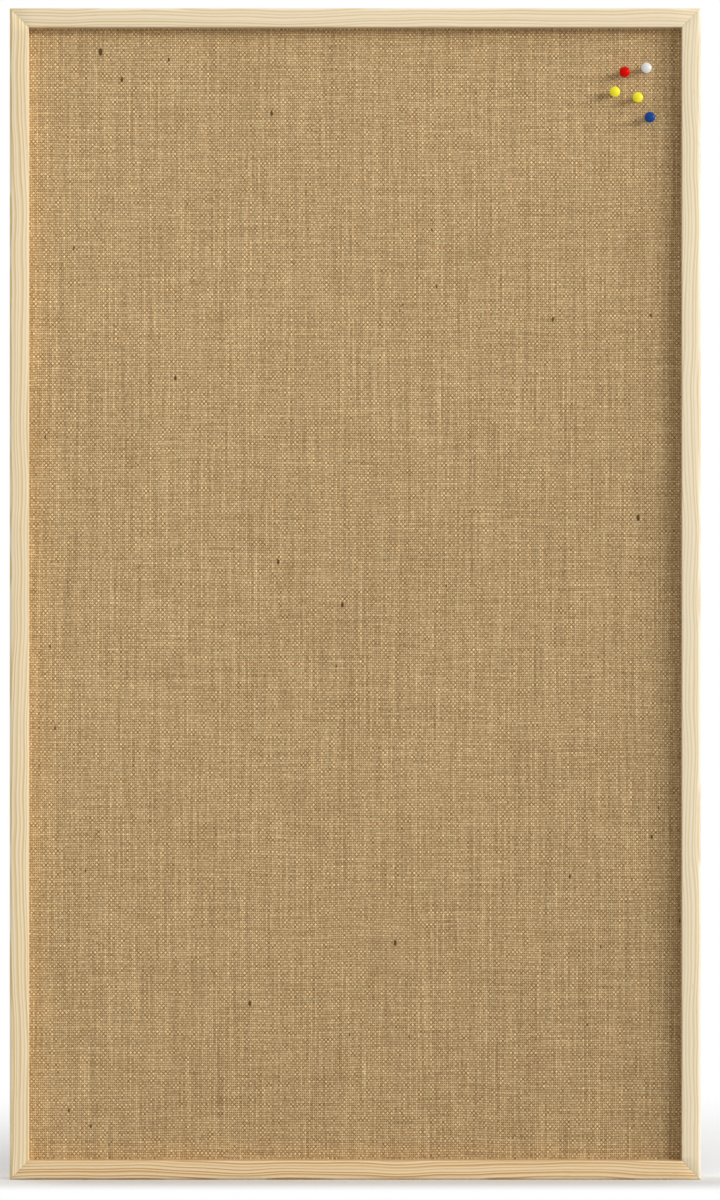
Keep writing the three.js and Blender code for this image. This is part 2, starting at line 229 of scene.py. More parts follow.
class StageSettings(bpy.types.PropertyGroup):
    """Camera, lamps and floor."""

    camera_distance: length("Camera distance", "From the frame's face to the camera", 4.0)
    camera_across: length("Camera across", "Camera's place right of the board's middle", 0.0041)
    camera_down: length("Camera down", "Camera's place below the board's middle", 0.0052)
    frame_height: length("Frame height", "Height of the view at the frame's face", 1.024)
    floor_size: length("Floor size", "Side of the square floor", 12.0)
    key_power: watts("Key power", "Power of the key lamp", 745)
    back_power: watts("Back power", "Power of the lamp behind", 300)
    key_width: length("Key width", "Width of the long, low key lamp", 7.5)
    key_height: length("Key height", "Height of the long, low key lamp", 2.0)
    key_distance: length("Key distance", "From the board's middle to the key lamp", 10.0)
    key_turn: degrees("Key turn", "Key lamp's angle to the right of the board's normal", 58)
    key_rise: degrees("Key rise", "Key lamp's angle above the horizon", 17)
    fill: fraction("Fill", "Strength of the room light, which comes more from above", 0.37)
    floor_lit: fraction("Floor lit", "Tone of the floor for the light that it throws back", 0.5)
    floor_tone: fraction("Floor tone", "Tone of the floor behind the board's middle, as it is seen", 0.93)
    # Painted shadow: where seen, the floor is darker in a band before the board's face, across the floor's
    # whole width.
    floor_painted_shadow: fraction("Floor shade", "Tone of the floor before the board, as it is seen", 0.79)
    floor_front: length("Floor front", "Distance before the board at which the floor is plain white", 0.1)
    floor_clear: length("Floor clear", "Distance from the board at which the floor is plain white", 0.8)


SETTINGS = {
    "pin_board_jute": JuteSettings,
    "pin_board_pine": PineSettings,
    "pin_board_hardware": HardwareSettings,
    "pin_board_pins": PinSettings,
    "pin_board_stage": StageSettings,
}


class Signal:
    """A number on its way between nodes, so that sums read as sums."""

    def __init__(self, nodes, socket):
        self.nodes = nodes
        self.socket = socket

    def math(self, operation, *others):
        node = self.nodes.node("ShaderNodeMath", operation=operation)
        for socket, value in zip(node.inputs, (self, *others)):
            self.nodes.feed(socket, value)
        return Signal(self.nodes, node.outputs[0])

    def __add__(self, other):
        return self.math("ADD", other)

    def __sub__(self, other):
        return self.math("SUBTRACT", other)

    def __mul__(self, other):
        return self.math("MULTIPLY", other)

    def __truediv__(self, other):
        return self.math("DIVIDE", other)

    def between(self, low, high):
        """0 at low, 1 at high and smooth between them."""
        node = self.nodes.node("ShaderNodeMapRange", interpolation_type="SMOOTHSTEP")
        for name, value in (("Value", self), ("From Min", low), ("From Max", high)):
            self.nodes.feed(node.inputs[name], value)
        return Signal(self.nodes, node.outputs["Result"])


class Nodes:
    """The nodes of a material or of the world, emptied and made anew."""

    def __init__(self, owner):
        owner.use_nodes = True
        self.owner = owner
        self.tree = owner.node_tree
        self.tree.nodes.clear()

    def node(self, kind, **settings):
        made = self.tree.nodes.new(kind)
        for name, value in settings.items():
            setattr(made, name, value)
        return made

    def feed(self, socket, value):
        """Links a signal or socket to a socket, or sets a plain number or colour on it."""
        if isinstance(value, Signal):
            value = value.socket
        if isinstance(value, bpy.types.NodeSocket):
            self.tree.links.new(value, socket)
        elif socket.type == "RGBA":
            socket.default_value = (*value, 1)
        else:
            socket.default_value = value

    def place(self, stretch=(1, 1, 1)):
        """The object's own coordinates, each times a stretch."""
        node = self.node("ShaderNodeVectorMath", operation="MULTIPLY")
        self.feed(node.inputs[0], self.node("ShaderNodeTexCoord").outputs["Object"])
        node.inputs[1].default_value = stretch
        return node.outputs[0]

    def parts(self, vector):
        """The three numbers of a vector."""
        node = self.node("ShaderNodeSeparateXYZ")
        self.feed(node.inputs[0], vector)
        return [Signal(self, socket) for socket in node.outputs]

    def vector(self, *parts):
        node = self.node("ShaderNodeCombineXYZ")
        for socket, value in zip(node.inputs, parts):
            self.feed(socket, value)
        return node.outputs[0]

    def noise(self, vector, detail):
        """Smooth noise from 0 to 1."""
        node = self.node("ShaderNodeTexNoise")
        self.feed(node.inputs["Vector"], vector)
        node.inputs["Scale"].default_value = 1
        node.inputs["Detail"].default_value = detail
        return Signal(self, node.outputs[0])

    def grain(self, stretch, detail):
        """Noise over the object's own coordinates, each times a stretch."""
        return self.noise(self.place(stretch), detail)

    def drift(self, detail, *parts):
        """Noise over three signals or numbers."""
        return self.noise(self.vector(*parts), detail)

    def cells(self, vector, scale=1):
        """Distance to the nearest of many scattered points."""
        node = self.node("ShaderNodeTexVoronoi")
        self.feed(node.inputs["Vector"], vector)
        node.inputs["Scale"].default_value = scale
        return Signal(self, node.outputs["Distance"])

    def mix(self, factor, first, second, blend="MIX"):
        node = self.node("ShaderNodeMix", data_type="RGBA", blend_type=blend)
        self.feed(node.inputs[0], factor)
        self.feed(node.inputs[6], first)
        self.feed(node.inputs[7], second)
        return node.outputs[2]

    def shade(self, tint, amount):
        """A colour made darker or lighter by a number that is 1 where it stays."""
        grey = self.node("ShaderNodeCombineColor")
        for socket in grey.inputs:
            self.feed(socket, amount)
        return self.mix(1.0, tint, grey.outputs[0], "MULTIPLY")

    def seen_directly(self):
        """1 for rays from the camera, off gloss or through glass, and 0 for light on the object."""
        path = self.node("ShaderNodeLightPath").outputs
        seen = Signal(self, path["Is Camera Ray"]).math("MAXIMUM", path["Is Glossy Ray"])
        return seen.math("MAXIMUM", path["Is Transmission Ray"])

    def either(self, factor, first, second):
        """One shader, or the other, or part of each."""
        node = self.node("ShaderNodeMixShader")
        for socket, value in zip(node.inputs, (factor, first.outputs[0], second.outputs[0])):
            self.feed(socket, value)
        return node.outputs[0]


class Finish(Nodes):
    """A material under construction: one Principled shader and the nodes that feed it."""

    def __init__(self, name):
        super().__init__(bpy.data.materials.new(name))
        self.shader = self.node("ShaderNodeBsdfPrincipled")
        self.output = self.node("ShaderNodeOutputMaterial")
        self.feed(self.output.inputs["Surface"], self.shader.outputs["BSDF"])

    def bump(self, height, distance):
        node = self.node("ShaderNodeBump")
        node.inputs["Distance"].default_value = distance
        self.feed(node.inputs["Height"], height)
        self.feed(self.shader.inputs["Normal"], node.outputs["Normal"])

    def wear(self, **inputs):
        """Feeds the shader's sockets by name, with _ for a space, and gives the material."""
        for name, value in inputs.items():
            self.feed(self.shader.inputs[name.replace("_", " ")], value)
        return self.owner


def jute_finish(settings):
    """Plain weave drawn from the thread counts that the cloth's own map carries; its colour runs from the
    gap's dark brown beside each yarn to the knuckle's pale tan on its middle, a painted shade and painted
    highlight of the yarns' rounding.

    The plain number in each drift keeps its noise apart from the others.
    """
    finish = Finish("jute_weave")
    count = finish.node("ShaderNodeUVMap", uv_map="threads")
    warp, weft, _ = finish.parts(count.outputs["UV"])
    warp_number, weft_number = warp.math("ROUND"), weft.math("ROUND")
    warp_grain = finish.drift(0, warp_number * YARN_STEP, weft * SLUB_STEP, 2.5)
    weft_grain = finish.drift(0, warp * SLUB_STEP, weft_number * YARN_STEP, 8.5)
    warp_run, warp_twin = yarn_tone(finish, warp_number, weft * 0.03, 3.5)
    weft_run, weft_twin = yarn_tone(finish, weft_number, warp * 0.045, 1.5)
    warp_dome = yarn_dome(warp, warp_number, warp_grain * 0.2 + 0.26)
    weft_dome = yarn_dome(weft, weft_number, weft_grain * 0.2 + 0.28)
    over = ((weft + warp_number) * math.pi).math("COSINE")
    crown = weft_grain + (warp_grain - weft_grain) * over.between(-0.2, 0.2)
    side = finish.drift(0, warp * 0.35, weft * 0.35, 5.1) - 0.5
    fibre = finish.grain((560, 560, 560), 2)
    # Painted shade and highlight: the yarns' round sections turn the colour from the gap's dark brown at
    # their sides to the knuckle's pale tan on their middles.
    ridge = (warp_dome * 0.9).math("MAXIMUM", weft_dome)
    light = ridge * 0.8 + over * (side * 1.1 + 0.12) + crown * 0.3 + fibre * 0.6
    light = light + warp_run * 0.17 + weft_run * 0.11 - 0.69
    body = finish.mix(light.between(-0.25, 1.25), settings.gap, settings.knuckle_highlight)
    size = finish.drift(1, warp * 0.041, weft * 0.037, 7.7) * 0.2 - 0.06
    speck = size - finish.cells(finish.vector(warp * 0.09, weft * 0.05, 0))
    body = finish.mix(speck.between(-0.01, 0.02) * 0.9, body, settings.speck)
    across, _, up = finish.parts(finish.place())
    cloud = finish.grain((5, 5, 3), 3)
    # Painted light: the cloth is lighter towards the top and darker towards the right, as light falls off
    # across it; the cloud and the yarns' runs are the jute's own tone.
    level = cloud * 0.1 + up * 0.08 - across * 0.2 + 0.925
    level = level + warp_run * 0.36 + weft_run * 0.24 + warp_twin * 0.6 + weft_twin * 0.45
    top = (warp_dome * (over * 0.3 + 0.7)).math("MAXIMUM", weft_dome * (over * -0.3 + 0.7))
    finish.bump(top + fibre * 0.15, settings.relief * 0.4)
    return finish.wear(
        Base_Color=finish.shade(body, level), Roughness=fibre * 0.1 + 0.85, Specular_IOR_Level=0.05
    )


def yarn_tone(finish, number, along, seed):
    """Slow tone along each yarn, from -0.5 to 0.5: its own, and one that changes sign from yarn to yarn."""
    own = finish.drift(1, number * 5.47, along, seed) - 0.5
    twin = finish.drift(1, number * 0.37, along, seed + 3) - 0.5
    return own, twin * (number * math.pi).math("COSINE")


def yarn_dome(across, number, half):
    """Round section of one set of yarns of a given half width, from 0 beside a yarn to 1 on its middle."""
    side = (across - number) / half
    return (side * side * -1 + 1).math("MAXIMUM", 0).math("SQRT")


def pine_finish(name, settings, early, late, figure, seed):
    """Growth rings round a distant heart, seen along the grain, with fine fibres and pores."""
    finish = Finish(name)
    across, deep, along = finish.parts(finish.place())
    sway = finish.drift(2, across * 9, seed * 2.3, along * 6)
    ripple = finish.drift(1, across * 70, deep * 70, along * 12 + seed)
    across = across + sway * 0.016 + ripple * 0.0024 + 0.03 + seed * 0.002
    deep = deep + sway * 0.006 + 0.035
    radius = (across * across + deep * deep).math("SQRT") / settings.ring_spacing
    radius = radius + finish.drift(0, radius * 0.7, seed, 3.1) * 1.6
    ring = radius.math("FRACT")
    number = radius.math("FLOOR")
    band = ring.between(0.2, 0.78) * ring.between(1.0, 0.8)
    strength = finish.drift(1, number * 3.7, seed, along * 3)
    strength = (strength.between(0.25, 0.65) * 0.55 + 0.45) * figure
    fibre = finish.grain((2600, 2600, 38), 3)
    pore = finish.grain((1500, 1500, 75), 1).between(0.68, 0.76)
    cloud = finish.grain((30, 30, 3), 2)
    body = finish.mix(band * strength, early, late)
    body = finish.mix(pore * 0.3, body, late)
    level = fibre * 0.1 + cloud * 0.12 + 0.89
    finish.bump(fibre + band * 0.4, 0.00006)
    return finish.wear(
        Base_Color=finish.shade(body, level), Roughness=fibre * 0.16 + 0.42 - band * 0.08,
        Specular_IOR_Level=0.25,
    )


def plastic_finish(name, body):
    """Moulded plastic: nearly even colour, faint flow marks and a soft gloss."""
    finish = Finish(name)
    flow = finish.grain((260, 260, 120), 2)
    grain = finish.grain((5200, 5200, 5200), 1)
    finish.bump(grain + flow, 0.00002)
    level = flow * 0.1 + 0.95
    return finish.wear(
        Base_Color=finish.shade(body, level), Roughness=grain * 0.08 + 0.2, Specular_IOR_Level=0.5,
        Specular_Tint=[math.sqrt(part) for part in body],
    )


def metal_finish(name, body, brushing, roughness):
    """Metal with a faint spangle and fine scratches."""
    finish = Finish(name)
    scratch = finish.grain(brushing, 2)
    spangle = finish.cells(finish.place(), 900)
    finish.bump(scratch, 0.00001)
    level = scratch * 0.16 + spangle * 0.12 + 0.84
    return finish.wear(
        Base_Color=finish.shade(body, level), Metallic=1.0, Roughness=scratch * 0.18 + roughness
    )


def rubber_finish(settings):
    """Pale rubber, matt with a little dust."""
    finish = Finish("bumper_rubber")
    dust = finish.grain((1400, 1400, 1400), 3)
    finish.bump(dust, 0.00005)
    return finish.wear(
        Base_Color=finish.shade(settings.rubber, dust * 0.2 + 0.88), Roughness=dust * 0.2 + 0.5,
        Specular_IOR_Level=0.3,
    )


def pressed_finish(name, body, fibre_scale, contrast):
    """Board pressed from wood fibres: short streaks lying every way in a plain brown."""
    finish = Finish(name)
    first = finish.grain((fibre_scale, 1, fibre_scale / 6), 4)
    second = finish.grain((fibre_scale / 6, 1, fibre_scale), 4)
    cloud = finish.grain((9, 9, 9), 3)
    speck = finish.grain((480, 480, 260), 2).between(0.66, 0.74)
    level = first * contrast + second * contrast + cloud * 0.3 + (1 - contrast - 0.15)
    body = finish.mix(speck * 0.35, body, [part * 0.45 for part in body])
    finish.bump(first + second, 0.00008)
    return finish.wear(
        Base_Color=finish.shade(body, level), Roughness=first * 0.2 + 0.5, Specular_IOR_Level=0.3
    )


def shown(name, shape, place=None):
    """An object from corners and faces drawn at the origin, put in its place with its faces out."""
    corners, faces = shape
    mesh = bpy.data.meshes.new(name)
    mesh.from_pydata(corners, [], faces)
    outward = bmesh.new()
    outward.from_mesh(mesh)
    bmesh.ops.recalc_face_normals(outward, faces=outward.faces)
    outward.to_mesh(mesh)
    outward.free()
    return placed(name, mesh, place or Matrix.Identity(4))


def placed(name, data, place):
    """A new object in the scene."""
    made = bpy.data.objects.new(name, data)
    bpy.context.scene.collection.objects.link(made)
    made.matrix_world = place
    return made


def piece_of(body, finish, name, shape, place=None):
    """A visible piece that rides on a body and wears a finish."""
    piece = shown(name, shape, place)
    piece.data.materials.append(finish)
    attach(piece, body)
    return piece


def smoothed(piece):
    """Smooth shading, kept sharp where faces meet at a real edge."""
    piece.data.shade_smooth()
    piece.data.set_sharp_from_angle(angle=SHARP_ANGLE)
    return piece


def eased(piece, width):
    """Rounds the sharp edges of a piece."""
    bevel = piece.modifiers.new("eased_edges", "BEVEL")
    bevel.width = width
    bevel.segments = 2
    bevel.limit_method = "ANGLE"
    bevel.angle_limit = SHARP_ANGLE


def carved(piece, cutter):
    """Cuts a piece with a cutter, which is then taken away, and turns its modifiers into mesh."""
    cut = piece.modifiers.new("cut", "BOOLEAN")
    cut.operation = "DIFFERENCE"
    cut.solver = "EXACT"
    cut.object = cutter
    graph = bpy.context.evaluated_depsgraph_get()
    piece.data = bpy.data.meshes.new_from_object(piece.evaluated_get(graph))
    piece.modifiers.clear()
    bpy.data.objects.remove(cutter)


def arc(centre, radius, start, end, steps):
    """Points along an arc, its angles in degrees."""
    angles = [math.radians(start + (end - start) * i / steps) for i in range(steps + 1)]
    return [(centre[0] + radius * math.cos(a), centre[1] + radius * math.sin(a)) for a in angles]


def bend(start, control, end, steps=8):
    """Points along a quadratic curve after its start."""
    places = [(i + 1) / steps for i in range(steps)]
    return [
        tuple(a * (1 - t) ** 2 + 2 * b * t * (1 - t) + c * t * t for a, b, c in zip(start, control, end))
        for t in places
    ]


def turned(profile, sides):
    """Corners and faces of a profile of (radius, height) points turned about Z, both ends on the axis."""
    corners, rings = [], []
    for radius, height in profile:
        count = sides if radius > 0 else 1
        rings.append(range(len(corners), len(corners) + count))
        for i in range(count):
            angle = 2 * math.pi * i / sides
            corners.append((radius * math.cos(angle), radius * math.sin(angle), height))
    faces = []
    for low, high in zip(rings, rings[1:]):
        for i in range(sides):
            following = (i + 1) % sides
            pairs = ((low, i), (low, following), (high, following), (high, i))
            face = [ring[k % len(ring)] for ring, k in pairs]
            faces.append(list(dict.fromkeys(face)))
    return corners, faces


def bands(count, rings, closed=False):
    """Four-sided faces between rings of count corners, and from the last to the first if closed."""
    faces = []
    for i in range(rings if closed else rings - 1):
        low, high = i * count, (i + 1) % rings * count
        faces += [(low + k, low + (k + 1) % count, high + (k + 1) % count, high + k) for k in range(count)]
    return faces


def swept(path, radius, sides):
    """Corners and faces of a round wire along a closed path in the XZ plane."""
    corners = []
    count = len(path)
    for i, (x, z) in enumerate(path):
        before, after = path[i - 1], path[(i + 1) % count]
        along = Vector((after[0] - before[0], 0, after[1] - before[1])).normalized()
        outward = along.cross(Vector((0, 1, 0)))
        for k in range(sides):
            angle = 2 * math.pi * k / sides
            offset = outward * (radius * math.cos(angle)) + Vector((0, radius * math.sin(angle), 0))
            corners.append(Vector((x, 0, z)) + offset)
    return corners, bands(sides, count, closed=True)


def rolling(rng, shape, spans):
    """Random hills of unit height, about spans (rows, columns) steps long; a span of 0 keeps steps apart."""
    rows = np.fft.fftfreq(shape[0])[:, None] * spans[0]
    columns = np.fft.rfftfreq(shape[1])[None, :] * spans[1]
    waves = np.fft.rfft2(rng.standard_normal(shape)) * np.exp(-4 * (rows**2 + columns**2))
    hills = np.fft.irfft2(waves, shape)
    return hills / hills.std()


def facing(direction):
    """A turn that takes Z to a direction."""
    return Vector(direction).to_track_quat("Z", "Y").to_matrix().to_4x4()


def seated(low, high, depth, way):
    """Place of a turned piece in its box, at a depth, with its axis backwards (1) or forwards (-1)."""
    seat = Vector(((low.x + high.x) / 2, depth, (low.z + high.z) / 2))
    return Matrix.Translation(seat) @ facing((0, way, 0))


class Weave:
    """Jute stretched over the core: woven front, turned edges, and flaps glued behind."""

    def __init__(self, settings):
        self.settings = settings
        low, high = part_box("jute_cover")
        self.middle = ((low.x + high.x) / 2, (low.z + high.z) / 2)
        self.front, self.depth = low.y, high.y - low.y
        self.half = [side / 2 - settings.edge_round for side in (high.x - low.x, high.z - low.z)]
        pitches = (settings.warp_pitch, settings.weft_pitch)
        self.counts = [round(2 * half / pitch) + 1 for half, pitch in zip(self.half, pitches)]
        self.rng = np.random.default_rng(WEAVE_SEED)

    def crossings(self):
        """Place of each crossing (warp, weft) across, back and up, threads straying as they do."""
        warps, wefts = self.counts
        along = np.stack(np.meshgrid(np.arange(warps), np.arange(wefts), indexing="ij"), -1)
        share = along / (np.array(self.counts) - 1) * 2 - 1
        flat = share * self.half
        rim = np.minimum(along, np.array(self.counts) - 1 - along).min(-1)
        calm = np.clip(rim / CALM_THREADS, 0, 1)[..., None]
        bunched = np.stack([rolling(self.rng, self.counts, spans) for spans in ((40, 110), (28, 25))], -1)
        waver = np.stack([
            rolling(self.rng, self.counts, (0, 22)),
            rolling(self.rng, self.counts, (22, 0)),
        ], -1)
        strays = (bunched + waver * 0.2) * calm * self.settings.wander
        back = np.abs(rolling(self.rng, self.counts, (1.5, 1.5))) * calm[..., 0] * HOLLOW_DEPTH
        return np.dstack([flat[..., 0] + strays[..., 0], back, flat[..., 1] + strays[..., 1]])

    def gaps(self, crossings):
        """Place of each gap between four crossings, sunk below them."""
        corners = (crossings[:-1, :-1] + crossings[1:, :-1] + crossings[:-1, 1:] + crossings[1:, 1:]) / 4
        corners[..., 1] += self.settings.relief * (1 + rolling(self.rng, corners.shape[:2], (1, 1)) * 0.12)
        return corners

    def parted(self, places):
        """Pushes the threads aside where a needle goes through them."""
        for pin in PINS:
            low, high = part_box(f"pin_needle_{pin}")
            needle = np.array([(low.x + high.x) / 2 - self.middle[0], (low.z + high.z) / 2 - self.middle[1]])
            radius = (high.x - low.x) / 2
            away = places[..., [0, 2]] - needle
            apart = np.linalg.norm(away, axis=-1, keepdims=True)
            moved = np.sqrt(apart**2 + radius**2 * np.exp(-((apart / (6 * radius)) ** 2)))
            places[..., [0, 2]] = needle + away * moved / np.maximum(apart, 1e-9)
        return places

    def profile(self):
        """Turned edge and flap: places (out from the front's rim, back) and the runs along the cloth."""
        radius, thick, depth = self.settings.edge_round, self.settings.thickness, self.depth
        inner = radius - thick
        flap = radius - self.settings.flap
        outside = arc((0, radius), radius, -90, 0, 4)[1:] + arc((0, depth - radius), radius, 0, 90, 4)
        inside = arc((0, depth - radius), inner, 90, 0, 2) + arc((0, radius), inner, 0, -90, 2)
        points = outside + [(flap, depth), (flap, depth - thick)] + inside
        runs = np.cumsum([0] + [math.dist(a, b) for a, b in zip([(0, 0)] + points, points)])[1:]
        return points, runs

    def rim(self):
        """Warp and weft number of each crossing round the rim, and which way is out from there."""
        last_warp, last_weft = (count - 1 for count in self.counts)
        ways = [(i, 0) for i in range(last_warp)] + [(last_warp, j) for j in range(last_weft)]
        ways += [(i, last_weft) for i in range(last_warp, 0, -1)] + [(0, j) for j in range(last_weft, 0, -1)]
        rim = np.array(ways)
        share = rim / (last_warp, last_weft) * 2 - 1
        out = np.where(np.abs(share) == 1, share, 0)
        return rim, share, out

    def build(self, finish):
        woven = self.crossings()
        sunk = self.gaps(woven)
        warps, wefts = self.counts
        places = [self.parted(woven).reshape(-1, 3), self.parted(sunk).reshape(-1, 3)]
        counts = [grid_numbers(warps, wefts), grid_numbers(warps - 1, wefts - 1) + GAP_STEP]
        rim, share, out = self.rim()
        points, runs = self.profile()
        pitches = (self.settings.warp_pitch, self.settings.weft_pitch)
        for (reach, back), run in zip(points, runs):
            ring = share * (np.array(self.half) + reach)
            places.append(np.column_stack([ring[:, 0], np.full(len(ring), back), ring[:, 1]]))
            counts.append(rim + out * run / pitches)
        corners = np.vstack(places) + (self.middle[0], self.front, self.middle[1])
        faces = self.woven_faces()
        faces += self.turned_faces(rim, len(points)) + self.lining_faces(len(points))
        cloth = piece_of("board", finish, "jute_weave", (corners, faces))
        number_threads(cloth.data, np.vstack(counts))
        cloth.data.shade_smooth()
        return cloth

    def woven_faces(self):
        """Four-sided faces, each between two neighbouring crossings and the gaps on both sides of them."""
        warps, wefts = self.counts
        crossing = np.arange(warps * wefts).reshape(warps, wefts)
        gap = warps * wefts + np.arange((warps - 1) * (wefts - 1)).reshape(warps - 1, wefts - 1)
        level = [gap[:, :-1], crossing[1:, 1:-1], gap[:, 1:], crossing[:-1, 1:-1]]
        upright = [gap[:-1, :], crossing[1:-1, :-1], gap[1:, :], crossing[1:-1, 1:]]
        faces = [np.stack(corners, -1).reshape(-1, 4).tolist() for corners in (level, upright)]
        rims = [
            (crossing[:-1, 0], crossing[1:, 0], gap[:, 0]),
            (crossing[1:, -1], crossing[:-1, -1], gap[:, -1]),
            (crossing[0, 1:], crossing[0, :-1], gap[0, :]),
            (crossing[-1, :-1], crossing[-1, 1:], gap[-1, :]),
        ]
        return faces[0] + faces[1] + [face for rim in rims for face in np.stack(rim, -1).tolist()]

    def ring_starts(self, rings):
        warps, wefts = self.counts
        first = warps * wefts + (warps - 1) * (wefts - 1)
        around = 2 * (warps + wefts - 2)
        return [first + around * i for i in range(rings)], around

    def turned_faces(self, rim, rings):
        """Edges and flaps: bands between the rings, the first one joined to the woven front's rim."""
        starts, around = self.ring_starts(rings)
        lines = [rim[:, 0] * self.counts[1] + rim[:, 1]] + [start + np.arange(around) for start in starts]
        faces = []
        for inner, outer in zip(lines, lines[1:]):
            band = (inner, outer, np.roll(outer, -1), np.roll(inner, -1))
            faces += np.stack(band, -1).tolist()
        return faces

    def lining_faces(self, rings):
        """Inner face of the front: a level strip for each weft between the side rims."""
        starts, around = self.ring_starts(rings)
        warps, wefts = self.counts
        start = starts[-1]
        right = start + warps - 1
        left = [start + (around - j) % around for j in range(wefts)]
        strips = [[left[j], left[j + 1], right + j + 1, right + j] for j in range(1, wefts - 2)]
        bottom = [*range(start, right + 1), right + 1, left[1]]
        top = [*range(right + wefts - 1, right + wefts + warps - 1), left[wefts - 2], right + wefts - 2]
        return strips + [bottom[::-1], top[::-1]]


def grid_numbers(columns, rows):
    """Column and row number of each place of a grid."""
    return np.stack(np.meshgrid(np.arange(columns), np.arange(rows), indexing="ij"), -1).reshape(-1, 2)


def number_threads(mesh, counts):
    """Stores the warp and weft number of each corner as the cloth's own map."""
    threads = mesh.uv_layers.new(name="threads")
    corner = np.zeros(len(mesh.loops), np.int32)
    mesh.loops.foreach_get("vertex_index", corner)
    threads.data.foreach_set("uv", counts[corner].astype(np.float32).ravel())


class PINBOARD_OT_jute(bpy.types.Operator):
    """Weave the jute cover over the core"""

    bl_idname = "pin_board.jute"
    bl_label = "Jute cover"

    def execute(self, context):
        settings = context.scene.pin_board_jute
        weave = Weave(settings)
        cloth = weave.build(jute_finish(settings))
        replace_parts(cloth, "jute_cover")
        turned_in = 2 * (weave.depth + settings.flap)
        flat = [2 * (half + settings.edge_round) + turned_in for half in weave.half]
        return {"FINISHED"}


class PINBOARD_OT_core_and_panel(bpy.types.Operator):
    """Finish the soft core and the hard back panel"""

    bl_idname = "pin_board.core_and_panel"
    bl_label = "Core and back panel"

    def execute(self, context):
        settings = context.scene.pin_board_hardware
        dress("fibre_core", pressed_finish("soft_fibreboard", settings.fibreboard, 900, 0.2))
        dress("back_panel", pressed_finish("brown_hardboard", settings.hardboard, 420, 0.16))
        return {"FINISHED"}


def dress(node, finish):
    """Puts a finish on a CAD piece whose shape stays."""
    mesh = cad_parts[node].data
    mesh.materials.clear()
    mesh.materials.append(finish)


def moulding_section(settings, width, depth, lip):
    """Section of a member: across from its outer edge, and back from its face."""
    outer, sight, ease = settings.outer_round, settings.sight_round, settings.back_ease
    wall = width - settings.rebate
    return [
        *arc((outer, outer), outer, 180, 270, 8),
        *arc((width - sight, sight), sight, 270, 360, 5),
        (width, lip), (wall, lip),
        (wall, depth - ease), (wall - ease, depth), (ease, depth), (0, depth - ease),
    ]


def mitred_member(section, run, setback, stations):
    """Corners and faces of a member along Z with both ends cut at 45 degrees."""
    corners = []
    for i in range(stations + 1):
        for across, back in section:
            cut = across + setback
            along = min(max(run * i / stations, cut), run - cut)
            corners.append((across, back, along))
    count = len(section)
    ends = [list(range(count))[::-1], [stations * count + k for k in range(count)]]
    return corners, ends + bands(count, stations + 1)


def prism(outline, front, back):
    """Corners and faces of an outline in (across, up), thick from one depth to another."""
    count = len(outline)
    corners = [(across, depth, up) for depth in (front, back) for across, up in outline]
    sides = [(k, (k + 1) % count, count + (k + 1) % count, count + k) for k in range(count)]
    return corners, [list(range(count)), list(range(count, 2 * count)), *sides]


def joined(*shapes):
    """Corners and faces of several shapes as one."""
    corners, faces = [], []
    for more_corners, more_faces in shapes:
        start = len(corners)
        corners += more_corners
        faces += [[start + corner for corner in face] for face in more_faces]
    return corners, faces


def nail_slots(run, gap):
    """Slots for the V-nails at both ends of a member that lies along Z from its corner."""
    low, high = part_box("v_nail_bottom_left")
    edge, face = CAD_LOW.x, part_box("left_stile")[0].y
    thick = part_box("left_stile_point_1")[1].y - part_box("left_stile_point_1")[0].y + gap
    inset, reach = low.x - edge - gap, high.x - edge + gap
    inner = inset + gap + thick
    outline = [(inset, inset), (reach, inset), (reach, inner)]
    outline += [(inner, inner), (inner, reach), (inset, reach)]
    front, back = low.y - face - gap, high.y - face + 4 * gap
    far = [(across, run - up) for across, up in outline]
    return joined(prism(outline, front, back), prism(far, front, back))


class PINBOARD_OT_frame(bpy.types.Operator):
    """Mould, mitre and finish the four pine members"""

    bl_idname = "pin_board.frame"
    bl_label = "Pine frame"

    def execute(self, context):
        settings = context.scene.pin_board_pine
        low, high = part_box("left_stile")
        width, depth = high.x - low.x, high.y - low.y
        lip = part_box("jute_cover")[0].y - low.y - SEAT_GAP
        section = moulding_section(settings, width, depth, lip)
        half, top = CAD_HIGH.x, CAD_HIGH.z
        corners = [(-half, 0), (-half, top), (half, top), (half, 0)]
        runs = [top, 2 * half, top, 2 * half]
        setback = settings.joint * DIAGONAL
        for i, (member, (x, z), run) in enumerate(zip(MEMBERS, corners, runs)):
            early, figure = getattr(settings, member), getattr(settings, f"{member}_figure")
            late = settings.bottom_late if member == "bottom_rail" else settings.late
            finish = pine_finish(f"pine_{member}", settings, early, late, figure, i + 1)
            shape = mitred_member(section, run, setback, round(run / settings.station))
            place = Matrix.Translation((x, low.y, z)) @ Matrix.Rotation(i * math.pi / 2, 4, "Y")
            piece = piece_of("board", finish, f"pine_{member}", shape, place)
            eased(piece, settings.arris)
            carved(piece, shown("nail_slots", nail_slots(run, SEAT_GAP), place))
            smoothed(piece)
            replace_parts(piece, member)
        return {"FINISHED"}


class PINBOARD_OT_fixings(bpy.types.Operator):
    """Finish the V-nails across the mitres and the flat points that hold the back panel in"""

    bl_idname = "pin_board.fixings"
    bl_label = "Nails and points"

    def execute(self, context):
        settings = context.scene.pin_board_hardware
        finish = metal_finish("zinc_sheet", settings.zinc, (700, 700, 700), 0.34)
        nails = [f"v_nail_{corner}" for corner in CORNERS]
        points = [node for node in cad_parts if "_point_" in node]
        for node in nails + points:
            dress(node, finish)
        return {"FINISHED"}


def strap_fold(settings, reach):
    """Middle line of the folded strap as (down, back): up, round the ring's axis and down again."""
    layer = settings.strap_layer
    bore = settings.wire / 2 + settings.wire_gap
    turn = bore + layer / 2
    under, over = -turn, -turn + layer
    eye = arc((0, 0), turn, 270, 25, 24)
    leave = bend(eye[-1], (turn * 1.05, over), (turn * 1.9, over), 6)
    return [(reach, under), (reach - layer, under), *eye, *leave, (reach - layer, over), (reach, over)]


